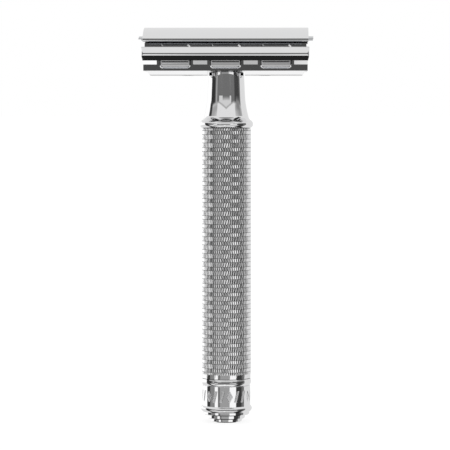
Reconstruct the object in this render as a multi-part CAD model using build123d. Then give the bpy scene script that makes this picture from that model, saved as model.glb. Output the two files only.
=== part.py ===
from build123d import *
import os
from math import atan2, cos, degrees, sin, sqrt

# A double-edge safety razor standing upright on the foot of its handle.
# Millimetres. Origin at the centre of the foot, +Z up the handle, X along the blade's
# long side, Y across the blade from one cutting edge to the other.

# --- handle: radii and heights, from the foot up ---
foot_tip_r = 3.85
foot_tip_h = 0.8
foot_step_r = 4.6
foot_step_h = 1.0
foot_flange_r = 5.7
foot_flange_h = 0.75
foot_edge = 0.2              # chamfer on each step
lower_ring_r = 6.35
lower_ring_h = 1.5
band_r = 5.95
band_h = 5.0
upper_ring_r = 6.15
upper_ring_h = 1.75
ring_tuck = 0.5              # how far a ring is drawn in at its lower edge
barrel_r = 6.1
barrel_land_h = 1.2          # smooth end below the grip pattern
barrel_land_r = 6.02
barrel_grip_h = 61.2
barrel_wall = 1.0

collar_r = 6.64
collar_h = 1.95
collar_bulge_rise = 0.92     # height of the collar's widest line above the barrel
collar_shoulder_r = 5.95
neck_foot_r = 5.42           # neck where its hollow foot ends
neck_foot_rise = 0.95        # height of that above the collar
neck_waist_r = 4.62
neck_waist_rise = 6.0        # height of the waist above the collar
neck_top_r = 4.35
neck_h = 12.0                # collar top to the seat under the head
neck_chamfer = 0.25

# --- what the handle holds inside ---
spigot_len = 4.6             # plugs that enter the two ends of the barrel
spigot_clearance = 0.02
rod_r = 2.0
rod_clearance = 0.02
rod_in_neck = 4.0            # length of the tie rod screwed into the neck
rod_in_foot = 1.6
seal_section_r = 0.45
seal_groove_play = 0.1
bush_r = 3.5
bush_len = 8.4
bush_drop = 0.15             # bush sits this far below the neck's top face

# --- screw that closes the head ---
stud_r = 2.5
thread_pitch = 0.8
thread_turns = 7
stud_running_clearance = 0.06
stud_in_cap = 1.1
stud_tip_chamfer = 0.4

# --- blade: standard double-edge size ---
blade_length = 43.0
blade_width = 22.1
blade_thickness = 0.1
blade_edge_length = 37.4
blade_tab_width = 13.2
blade_slot_length = 33.0
blade_slot_width = 2.6
blade_centre_hole_r = 3.6
blade_post_hole_r = 1.9
blade_gap = 0.12             # clear of the cap above and of the bed below

# --- head ---
seat_play = 0.05             # between the neck's top face and the plate
seat_clearance = 0.3         # beside the neck, where it stands between the two pads
pad_length = 37.6            # flat undersides of the pads, end to end
pad_width = 7.6
pad_h = 1.05
pad_flare = 0.7              # the pads are this much wider all round where they meet the body
pad_round = 0.25
body_length = 40.2
body_width = 20.0
body_wall_h = 1.52
body_cove_h = 0.94           # flared part of the wall, up to the guard's underside
body_cove_out = 0.35
guard_length = 41.0
guard_width = 24.8
guard_foot_width = 22.4
guard_bevel_h = 1.37
guard_nose_h = 0.43
guard_nose_round = 0.7
guard_face_h = 1.53
guard_top_width = 23.8
guard_top_round = 0.15
guard_end_taper = 0.3
guard_corner_r = 0.6         # rounding of the bars' ends, seen from above
gutter_floor_h = 1.8         # above the guard's underside
gutter_outer_width = 21.8
guard_lip = 0.3
bed_length = 39.6
bed_width = 18.8
slot_width = 7.0
slot_pitch = 12.35
slot_count = 3
slot_bite = 0.6              # how far a slot cuts into the bed's side
slot_undercut = 0.3          # the slot's back leans in by this much below the gutter
slot_corner = 0.6
slot_mouth = 0.4             # bevelled rim round a slot, and how deep it goes
slot_mouth_depth = 0.35
slot_relief = 0.55           # the flare of the wall stops this far beside a slot's rim
slot_floor_rise = 0.95       # the slot's bottom above the lower edge of the wall
slot_head = 0.7              # the slot stops this far below the bed's edge
pocket_length = 34.0
pocket_width = 12.6
pocket_floor = 2.9           # metal left under the pocket
pocket_corner = 1.5
stud_boss_r = 5.0
post_boss_r = 2.7
stud_hole_clearance = 0.15

cap_length = 40.6
cap_width = 20.4
cap_crown_r = 19.1
cap_thickness = 2.0
cap_lip_h = 0.81
cap_lip_round = 0.5          # lower outer edge of the lip
cap_edge_round = 0.1         # upper outer edge of the lip, and both ends
cap_rim = 0.6                # flat underside of the lip
lip_gap = 1.26               # open height between the guard and the cap's lip
cap_boss_r = 3.1
cap_boss_drop = 1.25
cap_boss_clearance = 0.3
post_r = 1.45
post_spread = 19.0
post_len = 6.4
post_in_cap = 0.9
post_clearance = 0.08

# --- heights worked out from the sizes above ---
foot_step_z = foot_tip_h
foot_flange_z = foot_step_z + foot_step_h
lower_ring_z = foot_flange_z + foot_flange_h
band_z = lower_ring_z + lower_ring_h
upper_ring_z = band_z + band_h
barrel_z = upper_ring_z + upper_ring_h
barrel_top_z = barrel_z + barrel_land_h + barrel_grip_h
collar_top_z = barrel_top_z + collar_h
neck_top_z = collar_top_z + neck_h
plate_seat_z = neck_top_z + seat_play
pad_z = plate_seat_z - pad_h
wall_z = plate_seat_z
cove_z = wall_z + body_wall_h
guard_z = cove_z + body_cove_h
nose_z = guard_z + guard_bevel_h
face_z = nose_z + guard_nose_h
guard_top_z = face_z + guard_face_h
gutter_z = guard_z + gutter_floor_h

# the lip of the cap hangs over the guard; cap, blade and bed are bent about one line
lip_z = guard_top_z + lip_gap
cap_drop = cap_crown_r - sqrt(cap_crown_r**2 - (cap_width / 2)**2)
crown_z = lip_z + cap_lip_h + cap_drop
ceiling_z = crown_z - cap_thickness
ceiling_drop = ceiling_z - lip_z
ceiling_half = cap_width / 2 - cap_rim
ceiling_r = (ceiling_half**2 + ceiling_drop**2) / (2 * ceiling_drop)
bend_z = ceiling_z - ceiling_r
blade_outer_r = ceiling_r - blade_gap
blade_inner_r = blade_outer_r - blade_thickness
bed_r = blade_inner_r - blade_gap
bed_edge_z = bend_z + sqrt(bed_r**2 - (bed_width / 2)**2)

bush_top_z = neck_top_z - bush_drop
stud_tip_z = bush_top_z - thread_pitch * thread_turns
stud_top_z = ceiling_z + stud_in_cap
boss_z = ceiling_z - cap_boss_drop
rod_top_z = barrel_top_z + rod_in_neck
rod_z = lower_ring_z - rod_in_foot
barrel_bore_r = barrel_r - barrel_wall
spigot_r = barrel_bore_r - spigot_clearance
neck_seal_z = barrel_top_z - spigot_len / 2
base_seal_z = barrel_z + spigot_len / 2
post_top_z = bend_z + sqrt(ceiling_r**2 - post_r**2) + post_in_cap


def turned(outline):
    """Solid of revolution about the handle's axis from lines drawn as (radius, height)."""
    return revolve(make_face(Plane.XZ * outline), axis=Axis.Z)


def stepped(*corners):
    """Turned piece with straight sides through the given (radius, height) corners."""
    return turned(Polyline(*corners, close=True))


def upright(radius, z_low, z_high, x=0.0):
    """Round bar standing parallel to the handle."""
    return Pos(x, 0, (z_low + z_high) / 2) * Cylinder(radius, z_high - z_low)


def along_head(outline, length):
    """Section drawn as (across, height), run along the head and centred on the handle."""
    return extrude(make_face(Plane.YZ * outline), amount=length / 2, both=True)


def bored(solid, radius, z_low, z_high, x=0.0):
    return solid - upright(radius, z_low - 1, z_high + 1, x)


# --- handle ---

def bead_side(radius, z_wide, low, high):
    """Outer edge of a bead, widest at z_wide, from its low to its high (radius, height) point."""
    below = TangentArc((radius, z_wide), low, tangent=(0, -1))
    return below + TangentArc((radius, z_wide), high, tangent=(0, 1))


def bead_ring(radius, z_low, height, top_r):
    """Bead with a rod hole, drawn in more at its lower edge than at its upper one."""
    z_high, low_r = z_low + height, radius - ring_tuck
    side = bead_side(radius, z_low + height * 0.55, (low_r, z_low), (top_r, z_high))
    rest = Polyline((top_r, z_high), (0, z_high), (0, z_low), (low_r, z_low))
    return bored(turned(side + rest), rod_r + rod_clearance, z_low, z_high)


def foot_nut():
    corners = [(0, 0)]
    for radius, z_low, height in ((foot_tip_r, 0, foot_tip_h), (foot_step_r, foot_step_z, foot_step_h),
                                  (foot_flange_r, foot_flange_z, foot_flange_h)):
        corners += [(radius - foot_edge, z_low), (radius, z_low + foot_edge), (radius, z_low + height)]
    corners.append((0, lower_ring_z))
    return stepped(*corners) - upright(rod_r, rod_z, lower_ring_z + 1)


def lower_base_ring():
    return bead_ring(lower_ring_r, lower_ring_z, lower_ring_h, band_r)


def base_band():
    return bored(upright(band_r, band_z, upper_ring_z), rod_r + rod_clearance, band_z, upper_ring_z)


def seal_groove(z_mid):
    """Ring cut round a spigot, as deep as the seal is thick."""
    floor_r = barrel_bore_r - 2 * seal_section_r
    low, high = z_mid - seal_section_r - seal_groove_play, z_mid + seal_section_r + seal_groove_play
    return upright(barrel_bore_r + 1, low, high) - upright(floor_r, low, high)


def seal(z_mid):
    ring_r = barrel_bore_r - seal_section_r
    return Pos(0, 0, z_mid) * Torus(ring_r, seal_section_r)


def upper_base_ring():
    ring = bead_ring(upper_ring_r, upper_ring_z, upper_ring_h, barrel_land_r)
    spigot = upright(spigot_r, barrel_z, barrel_z + spigot_len)
    spigot = bored(spigot, rod_r + rod_clearance, barrel_z, barrel_z + spigot_len)
    return ring + (spigot - seal_groove(base_seal_z))


def barrel():
    land_top = barrel_z + barrel_land_h
    return stepped((barrel_bore_r, barrel_z), (barrel_land_r, barrel_z), (barrel_land_r, land_top),
                   (barrel_r, land_top), (barrel_r, barrel_top_z), (barrel_bore_r, barrel_top_z))


def tie_rod():
    return upright(rod_r, rod_z, rod_top_z)


def neck():
    """Flared neck with a bead collar, its spigot below and the bush's bore on top."""
    foot = (neck_foot_r, collar_top_z + neck_foot_rise)
    waist = (neck_waist_r, collar_top_z + neck_waist_rise)
    collar = bead_side(collar_r, barrel_top_z + collar_bulge_rise,
                       (barrel_r, barrel_top_z), (collar_shoulder_r, collar_top_z))
    foot_lean = (-0.24, 1.0)
    hollow = TangentArc(foot, (collar_shoulder_r, collar_top_z), tangent=(-foot_lean[0], -foot_lean[1]))
    flare = Spline(foot, waist, tangents=[foot_lean, (neck_top_r - neck_waist_r, neck_h - neck_waist_rise)])
    shaft = Polyline(waist, (neck_top_r, neck_top_z - neck_chamfer),
                     (neck_top_r - neck_chamfer, neck_top_z), (0, neck_top_z), (0, barrel_top_z),
                     (barrel_r, barrel_top_z))
    piece = turned(collar + hollow + flare + shaft)
    piece += upright(spigot_r, barrel_top_z - spigot_len, barrel_top_z) - seal_groove(neck_seal_z)
    piece -= upright(bush_r, bush_top_z - bush_len, neck_top_z + 1)
    return piece - upright(rod_r, barrel_top_z - spigot_len - 1, rod_top_z)


def thread_bush():
    bush = upright(bush_r, bush_top_z - bush_len, bush_top_z)
    return bored(bush, stud_r + stud_running_clearance, bush_top_z - bush_len, bush_top_z)


# --- head ---

def base_plate():
    """Curved blade bed with a gutter and a solid guard bar down each long side."""
    def side(points):
        return points + [(-y, z) for y, z in reversed(points)]

    half_top = guard_top_width / 2
    section = Polyline(*side([
        (guard_foot_width / 2, guard_z), (guard_width / 2, nose_z), (guard_width / 2, face_z),
        (half_top, guard_top_z), (half_top - guard_lip, guard_top_z),
        (gutter_outer_width / 2, gutter_z)]), close=True)
    section = make_face(section)
    section = fillet([v for v in section.vertices() if abs(v.Y - nose_z) < 0.01], guard_nose_round)
    section = fillet([v for v in section.vertices() if abs(v.Y - guard_top_z) < 0.01], guard_top_round)
    guard = extrude(Plane.YZ * section, amount=guard_length / 2, both=True)
    half = guard_length / 2
    guard &= extrude(make_face(Plane.XZ * Polyline(
        (-half + guard_end_taper, guard_z), (half - guard_end_taper, guard_z), (half, nose_z),
        (half, guard_top_z), (-half, guard_top_z), (-half, nose_z), close=True)),
        amount=guard_width, both=True)
    plan = RectangleRounded(guard_length, guard_width, guard_corner_r)
    guard &= extrude(Pos(0, 0, guard_z) * plan, amount=guard_top_z - guard_z)

    body = along_head(Polyline(*side([
        (body_width / 2, wall_z), (body_width / 2, cove_z), (body_width / 2 + body_cove_out, guard_z)]),
        close=True), body_length)

    arc_top = ThreePointArc((-bed_width / 2, bed_edge_z), (0, bend_z + bed_r), (bed_width / 2, bed_edge_z))
    sides = Polyline((bed_width / 2, bed_edge_z), (bed_width / 2, guard_z),
                     (-bed_width / 2, guard_z), (-bed_width / 2, bed_edge_z))
    bed = along_head(arc_top + sides, bed_length)

    pad_lean = degrees(atan2(pad_flare, pad_h))
    pad = extrude(Pos(0, 0, pad_z) * Rectangle(pad_length, pad_width), amount=pad_h, taper=-pad_lean)
    pad = fillet(pad.edges().group_by(Axis.Z)[0], pad_round)

    plate = guard + body + bed + pad
    plate -= pockets()
    plate -= slots()
    neck_way = Box(2 * (neck_top_r + seat_clearance), body_width, pad_h + 1)
    plate -= Pos(0, 0, plate_seat_z - (pad_h + 1) / 2) * neck_way
    plate -= upright(cap_boss_r + cap_boss_clearance, boss_z - cap_boss_clearance, bend_z + bed_r + 1)
    plate = bored(plate, stud_r + stud_hole_clearance, pad_z, ceiling_z)
    for x in post_places():
        plate = bored(plate, post_r + post_clearance, pad_z, ceiling_z, x)
    return plate


def slots():
    """Lather slots: through the gutter's floor and down the body's side wall, with bevelled rims."""
    low, high = wall_z + slot_floor_rise, bed_edge_z - slot_head
    inner, outer = bed_width / 2 - slot_bite, gutter_outer_width / 2

    def outline(margin):
        width, height = slot_width + 2 * margin, high - low + 2 * margin
        return Pos(0, (low + high) / 2) * RectangleRounded(width, height, slot_corner + margin)

    back = along_head(Polyline((inner - slot_undercut, low), (inner, gutter_z), (inner, high),
                               (outer, high), (outer, low), close=True), slot_width)
    cutter = back & extrude(Plane.XZ * outline(0), amount=-outer)
    rim_lean = degrees(atan2(slot_mouth, slot_mouth_depth))
    for wall_y in (bed_width / 2, body_width / 2):
        rim = Plane.XZ.offset(-wall_y) * outline(slot_mouth)
        cutter += extrude(rim, amount=slot_mouth_depth, taper=rim_lean)
    relief_length = slot_width + 2 * (slot_mouth + slot_relief)
    relief_y = (body_width + body_cove_out) / 2
    cutter += Pos(0, relief_y, (cove_z + guard_z) / 2) * Box(relief_length, body_cove_out, guard_z - cove_z)
    first = -slot_pitch * (slot_count - 1) / 2
    return [Pos(first + i * slot_pitch, 0, 0) * tool
            for i in range(slot_count) for tool in (cutter, mirror(cutter, Plane.XZ))]


def pockets():
    """Cored hollow in the top of the bed, round the three bosses."""
    floor_z = pad_z + pocket_floor
    shape = Pos(0, 0, floor_z) * RectangleRounded(pocket_length, pocket_width, pocket_corner)
    hollow = extrude(shape, amount=ceiling_z - floor_z)
    hollow -= upright(stud_boss_r, floor_z - 1, ceiling_z + 1)
    for x in post_places():
        hollow -= upright(post_boss_r, floor_z - 1, ceiling_z + 1, x)
    return hollow


def post_places():
    return (-post_spread / 2, post_spread / 2)


def blade():
    """Thin sheet bent to the bed, with tabs at its ends and a slot down its middle."""
    sheet_ring = Circle(blade_outer_r) - Circle(blade_inner_r)
    sheet = extrude(Plane.YZ * Pos(0, bend_z) * sheet_ring, amount=blade_length / 2, both=True)
    half_angle = blade_width / 2 / ((blade_outer_r + blade_inner_r) / 2)
    reach = blade_inner_r * sin(half_angle)
    outline = Rectangle(blade_edge_length, 2 * reach) + Rectangle(blade_length, blade_tab_width)
    outline -= SlotOverall(blade_slot_length, blade_slot_width)
    outline -= Circle(blade_centre_hole_r)
    for x in post_places():
        outline -= Pos(x, 0) * Circle(blade_post_hole_r)
    low_z = bend_z + blade_inner_r * cos(half_angle) - 0.5
    return sheet & extrude(Pos(0, 0, low_z) * outline, amount=ceiling_z - low_z + 1)


def cap():
    """Domed cover that bends the blade, with a boss and sockets underneath."""
    half, lip_top = cap_width / 2, lip_z + cap_lip_h
    dome = ThreePointArc((-half, lip_top), (0, crown_z), (half, lip_top))
    ceiling = ThreePointArc((-ceiling_half, lip_z), (0, ceiling_z), (ceiling_half, lip_z))
    lips = [Polyline((side * half, lip_top), (side * half, lip_z), (side * ceiling_half, lip_z))
            for side in (-1, 1)]
    cover = along_head(dome + ceiling + lips[0] + lips[1], cap_length)

    def lip_edges(height):
        return [e for e in cover.edges().filter_by(Axis.X)
                if abs(abs(e.center().Y) - half) < 0.01 and abs(e.center().Z - height) < 0.01]

    cover = fillet(lip_edges(lip_z), cap_lip_round)
    cover = fillet(lip_edges(lip_top), cap_edge_round)
    ends = cover.faces().filter_by(Axis.X)
    cover = fillet([e for end in ends for e in end.edges()], cap_edge_round)
    cover += upright(cap_boss_r, boss_z, ceiling_z + 0.5)
    cover -= upright(stud_r, boss_z - 1, stud_top_z)
    for x in post_places():
        cover -= upright(post_r, lip_z, post_top_z, x)
    return cover


def cap_stud():
    stud = upright(stud_r, stud_tip_z, stud_top_z)
    return chamfer(stud.edges().group_by(Axis.Z)[0], stud_tip_chamfer)


def locating_post(x):
    post = upright(post_r, post_top_z - post_len, post_top_z, x)
    return chamfer(post.edges().group_by(Axis.Z)[0], post_r / 4)


pieces = {
    "foot_nut": foot_nut(),
    "lower_base_ring": lower_base_ring(),
    "base_band": base_band(),
    "upper_base_ring": upper_base_ring(),
    "base_seal": seal(base_seal_z),
    "barrel": barrel(),
    "tie_rod": tie_rod(),
    "neck_seal": seal(neck_seal_z),
    "neck": neck(),
    "thread_bush": thread_bush(),
    "base_plate": base_plate(),
    "blade": blade(),
    "cap": cap(),
    "cap_stud": cap_stud(),
    "locating_post_left": locating_post(post_places()[0]),
    "locating_post_right": locating_post(post_places()[1]),
}

os.makedirs("parts", exist_ok=True)
for name, piece in pieces.items():
    export_step(piece, f"parts/{name}.step")
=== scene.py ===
import bpy
import math
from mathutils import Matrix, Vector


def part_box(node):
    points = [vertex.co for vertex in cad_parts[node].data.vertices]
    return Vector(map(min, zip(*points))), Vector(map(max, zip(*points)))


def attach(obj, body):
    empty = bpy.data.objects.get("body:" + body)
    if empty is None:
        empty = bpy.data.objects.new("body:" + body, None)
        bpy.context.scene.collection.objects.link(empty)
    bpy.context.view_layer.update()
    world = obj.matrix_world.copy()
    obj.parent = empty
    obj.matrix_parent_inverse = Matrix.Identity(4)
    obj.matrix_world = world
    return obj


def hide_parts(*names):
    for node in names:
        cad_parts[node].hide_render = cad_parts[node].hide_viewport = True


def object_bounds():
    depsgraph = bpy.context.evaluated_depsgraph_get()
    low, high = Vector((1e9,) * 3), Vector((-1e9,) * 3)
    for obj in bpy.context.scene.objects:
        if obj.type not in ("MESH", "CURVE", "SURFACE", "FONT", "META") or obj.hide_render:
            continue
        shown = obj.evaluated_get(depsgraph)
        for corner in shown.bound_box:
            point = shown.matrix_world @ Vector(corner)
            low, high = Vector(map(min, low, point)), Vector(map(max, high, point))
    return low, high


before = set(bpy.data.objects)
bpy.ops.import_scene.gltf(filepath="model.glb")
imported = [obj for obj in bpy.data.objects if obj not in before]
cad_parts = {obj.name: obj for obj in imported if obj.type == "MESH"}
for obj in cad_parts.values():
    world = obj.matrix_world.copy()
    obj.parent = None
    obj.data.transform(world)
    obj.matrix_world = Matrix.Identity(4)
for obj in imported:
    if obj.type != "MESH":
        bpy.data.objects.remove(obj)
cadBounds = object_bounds()

mm = 0.001              # metres in a millimetre
tiny = 1e-7             # metres; two heights closer than this are taken as the same
nearWhole = 1e-9        # lifts a share that only just misses a whole number

# the camera stands in front, a little below the head, and looks slightly down
view = {
    "distance": 0.640,      # from the handle's axis
    "height": 0.0765,
    "azimuth": 1.4,         # degrees round towards +X
    "pitch": 2.46,          # degrees below level
    "yaw": 0.031,           # degrees to the left, so the handle stands just right of centre
    "lens": 205.84,
}


def makeCamera():
    cam = bpy.data.objects.new("camera", bpy.data.cameras.new("camera"))
    cam.data.lens = view["lens"]
    cam.data.sensor_width = 36
    cam.data.clip_start = 0.01
    swing = math.radians(view["azimuth"])
    cam.location = (view["distance"] * math.sin(swing), -view["distance"] * math.cos(swing), view["height"])
    cam.rotation_euler = (math.radians(90 - view["pitch"]), 0, swing + math.radians(view["yaw"]))
    bpy.context.scene.collection.objects.link(cam)
    bpy.context.scene.camera = cam


# short ways to build node trees
def addNode(tree, kind, **settings):
    node = tree.nodes.new(kind)
    for name, value in settings.items():
        setattr(node, name, value)
    return node


def feed(tree, socket, value):
    if isinstance(value, bpy.types.NodeSocket):
        tree.links.new(value, socket)
    else:
        socket.default_value = value


def doMath(tree, operation, *values):
    node = addNode(tree, "ShaderNodeMath", operation=operation)
    for socket, value in zip(node.inputs, values):
        feed(tree, socket, value)
    return node.outputs[0]


def ease(tree, value, low, high, fromValue=0.0, toValue=1.0):
    # smooth step from fromValue at low to toValue at high
    node = addNode(tree, "ShaderNodeMapRange", interpolation_type="SMOOTHSTEP")
    for name, given in (("Value", value), ("From Min", low), ("From Max", high),
                        ("To Min", fromValue), ("To Max", toValue)):
        feed(tree, node.inputs[name], given)
    return node.outputs["Result"]


def blendValue(tree, factor, first, second):
    node = addNode(tree, "ShaderNodeMix", data_type="FLOAT")
    feed(tree, node.inputs[0], factor)
    feed(tree, node.inputs[2], first)
    feed(tree, node.inputs[3], second)
    return node.outputs[0]


def blendColour(tree, factor, first, second):
    node = addNode(tree, "ShaderNodeMix", data_type="RGBA")
    feed(tree, node.inputs[0], factor)
    node.inputs[6].default_value = first
    node.inputs[7].default_value = second
    return node.outputs[2]


def addNoise(tree, place, scale, detail=2.0):
    node = addNode(tree, "ShaderNodeTexNoise")
    feed(tree, node.inputs["Vector"], place)
    node.inputs["Scale"].default_value = scale
    node.inputs["Detail"].default_value = detail
    return node.outputs["Fac"]


def addBump(tree, strength, distance, height):
    node = addNode(tree, "ShaderNodeBump")
    node.inputs["Strength"].default_value = strength
    node.inputs["Distance"].default_value = distance
    feed(tree, node.inputs["Height"], height)
    return node


def newMaterial(name):
    # the material, its node tree and its shader
    material = bpy.data.materials.new(name)
    material.use_nodes = True
    tree = material.node_tree
    return material, tree, tree.nodes["Principled BSDF"]


def placeOn(tree):
    return addNode(tree, "ShaderNodeTexCoord").outputs["Object"]


# each panel of the light tent: azimuth and half width, elevation and half height, width of its soft edge,
# tone, and how far it droops per degree to either side. angles in degrees; azimuth 0 is the front, and
# positive is to the right. later panels lie over earlier ones.
studio = {
    "tent": 0.79,
    "room": 1.0,            # what soft surfaces and the floor are lit by
    "backdrop": 1.0,
    "droopEnd": 45.0,       # degrees from a panel's middle where it droops no further
    "panels": (
        (-128, 34, 3, 13, 8, 1.15, 0),      # brighter left wall
        (0, 96, -5, 16, 3, 0.17, 0),        # grey front
        (0, 96, 9, 12.5, 3, 0.17, 0.18),
        (0, 30, -9, 8, 4, 0.36, 0),
        (0, 30, 1.4, 3, 1.5, 0.075, 0),     # dark level line
        (-6.5, 37.5, 15, 8.2, 1, 0.68, 0),  # reflector over the front
        (0, 22, 8, 2.6, 3, 0.17, 0),        # notch in its lower edge
        (0, 60, 21.6, 1.3, 2, 0.42, 0.18),  # seam under the roof
        (0, 96, 38, 15.5, 1.5, 0.81, 0.18), # front of the roof
        (-76, 22, 18, 4.5, 7, 0.4, 0),      # grey ends of the seam
        (76, 22, 18, 5, 7, 0.4, 0),
        (-62, 4, 5, 9, 3, 0.42, 0),         # grey strips at the left
        (-71, 13, -9, 8, 3, 0.25, 0),
        (-48.5, 8.5, -9, 8, 3, 1.05, 0),    # two tall lights at the front
        (33, 16, -9, 8, 3, 1.05, 0),
        (-88.5, 15.5, 4, 8, 3, 0.035, 0),   # black flags at the sides
        (-98, 10, 14, 5, 3, 0.05, 0),
        (70, 17, 4, 8, 7, 0.06, 0),
        (75, 12, 14, 5, 5, 0.25, 0),
        (-94, 11, -33, 33, 3, 0.045, 0),    # and lower down
        (65, 15, -11, 11, 3, 0.045, 0),
        (75, 20, -44, 22, 3, 0.045, 0),
        (0, 60, -48, 28, 4, 0.85, 0),       # paper in front of the piece
        (0, 60, -28, 7, 3, 0.24, 0),        # its shaded far edge
        (0, 60, -60, 9, 3, 1.02, 0),        # its bright near edge
        (-1.7, 1.7, -40, 7, 0.8, 0.52, 0),  # grey and white cards on it
        (-8, 4.6, -40, 7, 0.6, 1.2, 0),
        (0, 180, -90, 18, 4, 0.018, 0),     # black table under the piece and behind it
        (-135, 60, -70, 20, 8, 0.018, 0),
        (135, 60, -70, 20, 8, 0.018, 0),
        (0, 50, 58, 12, 5, 0.14, 0),        # gap in the roof of the tent
    ),
}


def makeStudio():
    world = bpy.data.worlds.new("studio")
    bpy.context.scene.world = world
    world.use_nodes = True
    tree = world.node_tree
    tree.nodes.clear()
    split = addNode(tree, "ShaderNodeSeparateXYZ")
    feed(tree, split.inputs[0], addNode(tree, "ShaderNodeTexCoord").outputs["Generated"])
    x, y, z = split.outputs
    azimuth = doMath(tree, "DEGREES", doMath(tree, "ARCTAN2", x, doMath(tree, "MULTIPLY", y, -1.0)))
    elevation = doMath(tree, "DEGREES", doMath(tree, "ARCSINE", z))
    tone = studio["tent"]
    for az, azHalf, el, elHalf, edge, value, droop in studio["panels"]:
        aside = doMath(tree, "ABSOLUTE", doMath(tree, "SUBTRACT", azimuth, float(az)))
        above = doMath(tree, "SUBTRACT", elevation, float(el))
        if droop:
            limited = doMath(tree, "MINIMUM", aside, studio["droopEnd"])
            above = doMath(tree, "ADD", above, doMath(tree, "MULTIPLY", limited, droop))
        up = ease(tree, doMath(tree, "ABSOLUTE", above), elHalf - edge / 2, elHalf + edge / 2, 1.0, 0.0)
        across = ease(tree, aside, azHalf - edge / 2, azHalf + edge / 2, 1.0, 0.0)
        tone = blendValue(tree, doMath(tree, "MULTIPLY", up, across), tone, value)
    path = addNode(tree, "ShaderNodeLightPath")
    light = blendValue(tree, path.outputs["Is Glossy Ray"], studio["room"], tone)
    light = blendValue(tree, path.outputs["Is Camera Ray"], light, studio["backdrop"])
    background = addNode(tree, "ShaderNodeBackground")
    background.inputs["Color"].default_value = (1, 1, 1, 1)
    feed(tree, background.inputs["Strength"], light)
    feed(tree, addNode(tree, "ShaderNodeOutputWorld").inputs["Surface"], background.outputs[0])
    bpy.context.scene.view_settings.view_transform = "Standard"


floorPlan = {
    "half": 80.0,           # half its width in metres, wide enough to reach the horizon
    "tone": (0.25, 0.25, 0.25, 1.0),
    "glow": 0.81,           # evens the paper out to white
    "rough": 0.9,
}


def makeFloor():
    half = floorPlan["half"]
    corners = [(-half, -half, 0), (half, -half, 0), (half, half, 0), (-half, half, 0)]
    mesh = bpy.data.meshes.new("floor")
    mesh.from_pydata(corners, [], [(0, 1, 2, 3)])
    floor = bpy.data.objects.new("floor", mesh)
    floor.location.z = cadBounds[0][2]
    bpy.context.scene.collection.objects.link(floor)
    floor.visible_glossy = False        # the chrome shows the tent, not the floor
    material, tree, shader = newMaterial("palePaper")
    shader.inputs["Base Color"].default_value = floorPlan["tone"]
    shader.inputs["Roughness"].default_value = floorPlan["rough"]
    shader.inputs["Specular IOR Level"].default_value = 0.0
    shader.inputs["Emission Color"].default_value = (1, 1, 1, 1)
    shader.inputs["Emission Strength"].default_value = floorPlan["glow"]
    # clear from below, so that the foot can be seen through it
    mix = addNode(tree, "ShaderNodeMixShader")
    feed(tree, mix.inputs[0], addNode(tree, "ShaderNodeNewGeometry").outputs["Backfacing"])
    feed(tree, mix.inputs[1], shader.outputs["BSDF"])
    feed(tree, mix.inputs[2], addNode(tree, "ShaderNodeBsdfTransparent").outputs["BSDF"])
    feed(tree, tree.nodes["Material Output"].inputs["Surface"], mix.outputs["Shader"])
    mesh.materials.append(material)


makeCamera()
makeStudio()
makeFloor()
print("studio ready")


# colour, roughness, how much that varies, and strength of the fine scratches
chromeLooks = {
    "polished": {"colour": (0.90, 0.90, 0.905, 1), "rough": 0.035, "vary": 0.03, "scratch": 0.05},
    "head": {"colour": (0.90, 0.90, 0.905, 1), "rough": 0.03, "vary": 0.03, "scratch": 0.06, "ripple": True},
    "grip": {"colour": (0.89, 0.89, 0.895, 1), "rough": 0.06, "vary": 0.05, "scratch": 0.04},
    "band": {"colour": (0.90, 0.90, 0.905, 1), "rough": 0.03, "vary": 0.03, "scratch": 0.05},
}


chromeGrain = {
    "hazeScale": 180,
    "hazeDetail": 6,
    "hazeLow": 0.35,        # noise values between which the roughness goes from its least to its most
    "hazeHigh": 0.75,
    "dull": 0.97,           # colour where the haze is least, against the full colour
    "scratchScale": (900, 900, 9000),
    "scratchDetail": 3,
    "scratchDepth": 0.004 * mm,
}


# the walls of the lather slots, and the milling marks on them
slotPlan = {
    "pitch": 12.35 * mm,
    "halfWidth": 3.4 * mm,
    "sideFade": 0.1 * mm,
    "middle": 2.75 * mm,    # height of the slots' middle above the pads
    "halfHeight": 0.85 * mm,
    "endFade": 0.2 * mm,
    "waveLength": 0.9 * mm,
    "waveHeight": 0.032 * mm,
    "waveShift": 0.1 * mm,
}


def chrome(name):
    look = chromeLooks[name]
    material, tree, shader = newMaterial("chrome." + name)
    shader.inputs["Metallic"].default_value = 1.0
    place = placeOn(tree)
    haze = addNoise(tree, place, chromeGrain["hazeScale"], chromeGrain["hazeDetail"])
    rough = ease(tree, haze, chromeGrain["hazeLow"], chromeGrain["hazeHigh"],
                 look["rough"], look["rough"] + look["vary"])
    feed(tree, shader.inputs["Roughness"], rough)
    dull = tuple(c * chromeGrain["dull"] for c in look["colour"][:3]) + (1,)
    feed(tree, shader.inputs["Base Color"], blendColour(tree, haze, dull, look["colour"]))
    stretch = addNode(tree, "ShaderNodeMapping")
    feed(tree, stretch.inputs["Vector"], place)
    stretch.inputs["Scale"].default_value = chromeGrain["scratchScale"]
    scratches = addNoise(tree, stretch.outputs[0], 1.0, chromeGrain["scratchDetail"])
    bump = addBump(tree, look["scratch"], chromeGrain["scratchDepth"], scratches)
    feed(tree, shader.inputs["Normal"], bump.outputs[0])
    if "ripple" in look:
        feed(tree, bump.inputs["Normal"], slotRipple(tree, place))
    return material


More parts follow.
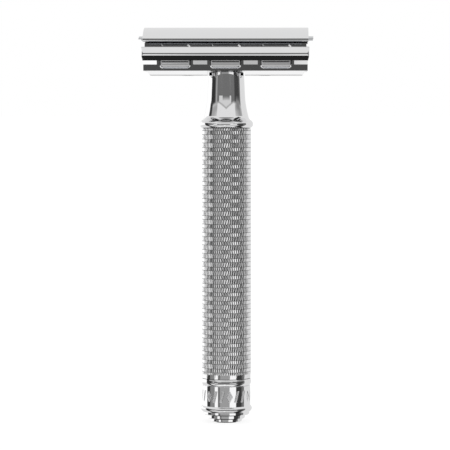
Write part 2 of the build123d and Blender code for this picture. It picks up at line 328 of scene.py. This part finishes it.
def slotRipple(tree, place):
    # level waves on the walls inside the lather slots, and nowhere else
    split = addNode(tree, "ShaderNodeSeparateXYZ")
    feed(tree, split.inputs[0], place)
    x, y, z = split.outputs
    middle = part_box("base_plate")[0].z + slotPlan["middle"]
    toSlot = doMath(tree, "PINGPONG", doMath(tree, "ABSOLUTE", x), slotPlan["pitch"] / 2)
    halfWidth, halfHeight = slotPlan["halfWidth"], slotPlan["halfHeight"]
    inside = ease(tree, toSlot, halfWidth - slotPlan["sideFade"], halfWidth, 1.0, 0.0)
    level = doMath(tree, "ABSOLUTE", doMath(tree, "SUBTRACT", z, middle))
    within = ease(tree, level, halfHeight - slotPlan["endFade"], halfHeight, 1.0, 0.0)
    above = doMath(tree, "SUBTRACT", z, middle + slotPlan["waveShift"])
    wave = doMath(tree, "SINE", doMath(tree, "MULTIPLY", above, 2 * math.pi / slotPlan["waveLength"]))
    height = doMath(tree, "MULTIPLY", doMath(tree, "MULTIPLY", wave, inside), within)
    return addBump(tree, 1.0, slotPlan["waveHeight"], height).outputs[0]


metalGrain = {"scale": 700, "detail": 5, "low": 0.3, "high": 0.7, "vary": 0.08}


def simpleMetal(name, dark, light, rough):
    material, tree, shader = newMaterial(name)
    shader.inputs["Metallic"].default_value = 1.0
    noise = addNoise(tree, placeOn(tree), metalGrain["scale"], metalGrain["detail"])
    feed(tree, shader.inputs["Base Color"], blendColour(tree, noise, dark, light))
    roughness = ease(tree, noise, metalGrain["low"], metalGrain["high"], rough, rough + metalGrain["vary"])
    feed(tree, shader.inputs["Roughness"], roughness)
    return material


rubberGrain = {"tone": (0.02, 0.02, 0.02, 1), "scale": 2500, "low": 0.3, "high": 0.7, "rough": (0.55, 0.75)}


def sealRubber():
    material, tree, shader = newMaterial("sealRubber")
    noise = addNoise(tree, placeOn(tree), rubberGrain["scale"])
    roughness = ease(tree, noise, rubberGrain["low"], rubberGrain["high"], *rubberGrain["rough"])
    feed(tree, shader.inputs["Roughness"], roughness)
    shader.inputs["Base Color"].default_value = rubberGrain["tone"]
    return material


def coat(node, material):
    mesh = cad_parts[node].data
    mesh.materials.clear()
    mesh.materials.append(material)


polished, headChrome, gripChrome, bandChrome = (chrome(name) for name in chromeLooks)
brass = simpleMetal("brass", (0.55, 0.38, 0.16, 1), (0.72, 0.53, 0.25, 1), 0.2)
bladeSteel = simpleMetal("bladeSteel", (0.46, 0.47, 0.49, 1), (0.54, 0.55, 0.57, 1), 0.05)
# near-black painted shadow for the gap at each joint of the barrel
jointGapShadow = simpleMetal("jointGapShadow", (0.03, 0.03, 0.03, 1), (0.06, 0.06, 0.06, 1), 0.5)
# dark grey painted shade for the level grooves between rows of the grip
lineGrooveShadow = simpleMetal("lineGrooveShadow", (0.22, 0.22, 0.22, 1), (0.3, 0.3, 0.3, 1), 0.4)
satinChrome = simpleMetal("satinChrome", (0.88, 0.88, 0.885, 1), (0.93, 0.93, 0.935, 1), 0.42)
for node in ("foot_nut", "lower_base_ring", "upper_base_ring", "neck"):
    coat(node, polished)
for node in ("base_plate", "cap", "locating_post_left", "locating_post_right"):
    coat(node, headChrome)
for node in ("thread_bush", "tie_rod", "cap_stud"):
    coat(node, brass)
for node in ("neck_seal", "base_seal"):
    coat(node, sealRubber())
coat("blade", bladeSteel)
print("materials ready")


sharpAngle = 26         # degrees; edges bent more than this are drawn sharp


def turnedSkin(name, columns, heights, radiusAt, innerRadius, material, twistAt=None):
    # a closed tube whose outer wall is radiusAt(angle, height), with flat ends and a plain bore;
    # twistAt(height) turns a ring of the wall round, and its grooves with it
    points, faces = [], []
    for z in heights:
        twist = twistAt(z) if twistAt else 0.0
        for i in range(columns):
            angle = 2 * math.pi * i / columns
            r = radiusAt(angle, z)
            points.append((r * math.cos(angle + twist), r * math.sin(angle + twist), z))
    for z in (heights[-1], heights[0]):
        for i in range(columns):
            angle = 2 * math.pi * i / columns
            points.append((innerRadius * math.cos(angle), innerRadius * math.sin(angle), z))
    rings = len(heights) + 2
    for j in range(rings):
        low, high = j * columns, (j + 1) % rings * columns
        for i in range(columns):
            k = (i + 1) % columns
            faces.append((low + i, low + k, high + k, high + i))
    mesh = bpy.data.meshes.new(name)
    mesh.from_pydata(points, [], faces)
    mesh.validate()
    mesh.shade_smooth()
    mesh.set_sharp_from_angle(angle=math.radians(sharpAngle))
    mesh.materials.append(material)
    skin = bpy.data.objects.new(name, mesh)
    bpy.context.scene.collection.objects.link(skin)
    return skin


grip = {
    "flutes": 62,
    "columnsPerFlute": 6,
    "bands": 29,
    "tallShare": 0.56,      # share of a band taken by its tall row of strokes
    "lean": 0.42,           # flutes that a stroke moves round over its row, back again in the next
    "start": 0.27,          # share of a band that is cut off at the lower end of the pattern
    "tallDepth": 0.066 * mm,
    "shortDepth": 0.045 * mm,
    "tallSteps": 5,         # rings of faces up a tall row, and up a short one
    "shortSteps": 4,
    "satinFace": 3,         # which face across a flute is satin, on the crest of a tall stroke
    "lineDepth": 0.05 * mm,     # level line between two rows
    "lineWidth": 0.10 * mm,
    "landHeight": 1.2 * mm,     # smooth end below the pattern
    "landRadius": 6.02 * mm,
    "wall": 1.0 * mm,
    "jointHeight": 0.14 * mm,   # joint at each end of the tube, its faces painted dark as the gap's shadow
    "jointDepth": 0.3 * mm,
    "step": 0.01 * mm,          # height over which the wall steps in or out
}


def makeBarrel():
    low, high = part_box("barrel")
    outer = (high.x - low.x) / 2
    gripLow = low.z + grip["landHeight"]
    jointLow, jointHigh = low.z + grip["jointHeight"], high.z - grip["jointHeight"]
    band = (jointHigh - gripLow) / grip["bands"]
    half = grip["lineWidth"] / 2
    tall = grip["tallShare"]
    flute = 2 * math.pi / grip["flutes"]

    def rowAt(z):
        row = (z - gripLow) / band + grip["start"]
        return row - math.floor(row + nearWhole)

    def radiusAt(angle, z):
        if z < jointLow - tiny or z > jointHigh + tiny:
            return outer - grip["jointDepth"]
        if z < gripLow - tiny:
            return grip["landRadius"]
        row = rowAt(z)
        across = angle / flute - math.floor(angle / flute + nearWhole) - 0.5
        cut = (grip["tallDepth"] if row < tall else grip["shortDepth"]) * (2 * across) ** 2
        toLine = min(abs(row), abs(row - tall), abs(row - 1)) * band
        if toLine < half:
            cut += grip["lineDepth"] * (1 - toLine / half)
        return outer - cut

    def twistAt(z):
        row = rowAt(z)
        way = row / tall if row < tall else (1 - row) / (1 - tall)
        return way * grip["lean"] * flute if z >= gripLow - tiny else 0.0

    line, step = half / band, grip["step"]
    tallSteps, shortSteps = grip["tallSteps"], grip["shortSteps"]
    rows = [0.0, line] + [tall * k / tallSteps for k in range(1, tallSteps)]
    rows += [tall - line, tall, tall + line]
    rows += [tall + (1 - tall) * k / shortSteps for k in range(1, shortSteps)] + [1 - line]
    heights = [low.z, jointLow - step, jointLow, gripLow - 2 * step, gripLow]
    for i in range(grip["bands"] + 1):
        places = (gripLow + band * (i + row - grip["start"]) for row in rows)
        heights += [z for z in places if gripLow + step < z < jointHigh - step]
    heights += [jointHigh, jointHigh + step, high.z]
    columns = grip["flutes"] * grip["columnsPerFlute"]
    skin = turnedSkin("barrel_skin", columns, heights, radiusAt, outer - grip["wall"], gripChrome, twistAt)
    jointShadowSlot, satinSlot, lineShadowSlot = 1, 2, 3
    for material in (jointGapShadow, satinChrome, lineGrooveShadow):
        skin.data.materials.append(material)
    outerFaces = columns * (len(heights) - 1)
    for face in skin.data.polygons:
        z, row = face.center.z, rowAt(face.center.z)
        # faces in the joint grooves at the tube's ends get the painted gap shadow
        if z < jointLow or z > jointHigh:
            face.material_index = jointShadowSlot
        elif z > gripLow and face.index < outerFaces:
            # faces in the level grooves between rows get the painted groove shade
            if min(row, abs(row - tall), 1 - row) < line:
                face.material_index = lineShadowSlot
            elif row < tall and face.index % grip["columnsPerFlute"] == grip["satinFace"]:
                face.material_index = satinSlot
    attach(skin, "handle")
    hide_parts("barrel")


makeBarrel()
print("barrel ready")


thread = {
    "pitch": 0.8 * mm,
    "depth": 0.45 * mm,
    "columns": 64,
    "rowsPerTurn": 12,
    "plain": 2.2 * mm,      # smooth length at the upper end
    "flank": 1.25,          # steepness of the flanks, which leaves a flat root
    "tipShare": 0.8,        # how far the tip is drawn in, as a share of the depth
    "bore": 0.2 * mm,
}


def makeStud():
    low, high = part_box("cap_stud")
    outer = (high.x - low.x) / 2
    steps = int((high.z - low.z) / thread["pitch"] * thread["rowsPerTurn"])
    heights = [low.z + (high.z - low.z) * i / steps for i in range(steps + 1)]

    def radiusAt(angle, z):
        turn = (z - low.z) / thread["pitch"] - angle / (2 * math.pi)
        wave = abs(2 * (turn - math.floor(turn)) - 1)
        start = min(1, (z - low.z) / thread["pitch"])
        end = min(1, max(0, (high.z - thread["plain"] - z) / thread["pitch"]))
        cut = thread["depth"] * min(1, wave * thread["flank"]) * end
        return outer - cut - thread["depth"] * thread["tipShare"] * (1 - start)

    skin = turnedSkin("stud_thread", thread["columns"], heights, radiusAt, thread["bore"], brass)
    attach(skin, "cap")
    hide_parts("cap_stud")


makeStud()
print("stud ready")


marks = {
    "columns": 900,
    "rows": 48,
    "count": 20,            # marks round the band
    "low": 1.15 * mm,       # lower edge of the marks above the band's foot
    "high": 3.95 * mm,
    "every": 3,             # one mark in so many is a lozenge, the others are bars
    "halfWidth": 0.42,      # of a lozenge, as a share of a mark's pitch
    "barWidth": 0.17,       # half the width of a bar
    "lean": 0.4,            # from the foot of a bar to its top
    "edge": 0.07,           # width of a mark's sloping edge
    "depth": 0.12 * mm,
    "bore": 2.02 * mm,
}


def makeBand():
    low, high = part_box("base_band")
    outer = (high.x - low.x) / 2
    bottom, top = low.z + marks["low"], low.z + marks["high"]
    middle, reach = (bottom + top) / 2, (top - bottom) / 2

    def radiusAt(angle, z):
        up = (z - middle) / reach
        if abs(up) >= 1:
            return outer
        place = angle / (2 * math.pi) * marks["count"]
        index = math.floor(place)
        across = place - index - 0.5
        if index % marks["every"] == 0:
            inside = marks["halfWidth"] * (1 - abs(up)) - abs(across)
        else:
            inside = marks["barWidth"] - abs(across - marks["lean"] * up / 2)
        return outer - marks["depth"] * max(0.0, min(1.0, inside / marks["edge"]))

    heights = [low.z + (high.z - low.z) * i / marks["rows"] for i in range(marks["rows"] + 1)]
    skin = turnedSkin("band_marks", marks["columns"], heights, radiusAt, marks["bore"], bandChrome)
    skin.data.materials.append(satinChrome)
    # the sunken faces of the outer wall; the bore and the two flat ends stay bright
    outerFaces = marks["columns"] * marks["rows"]
    for face in skin.data.polygons:
        sunken = face.center.xy.length < outer - marks["depth"] / 2
        if sunken and face.index < outerFaces:
            face.material_index = 1
    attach(skin, "handle")
    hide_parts("base_band")


makeBand()
print("band ready")
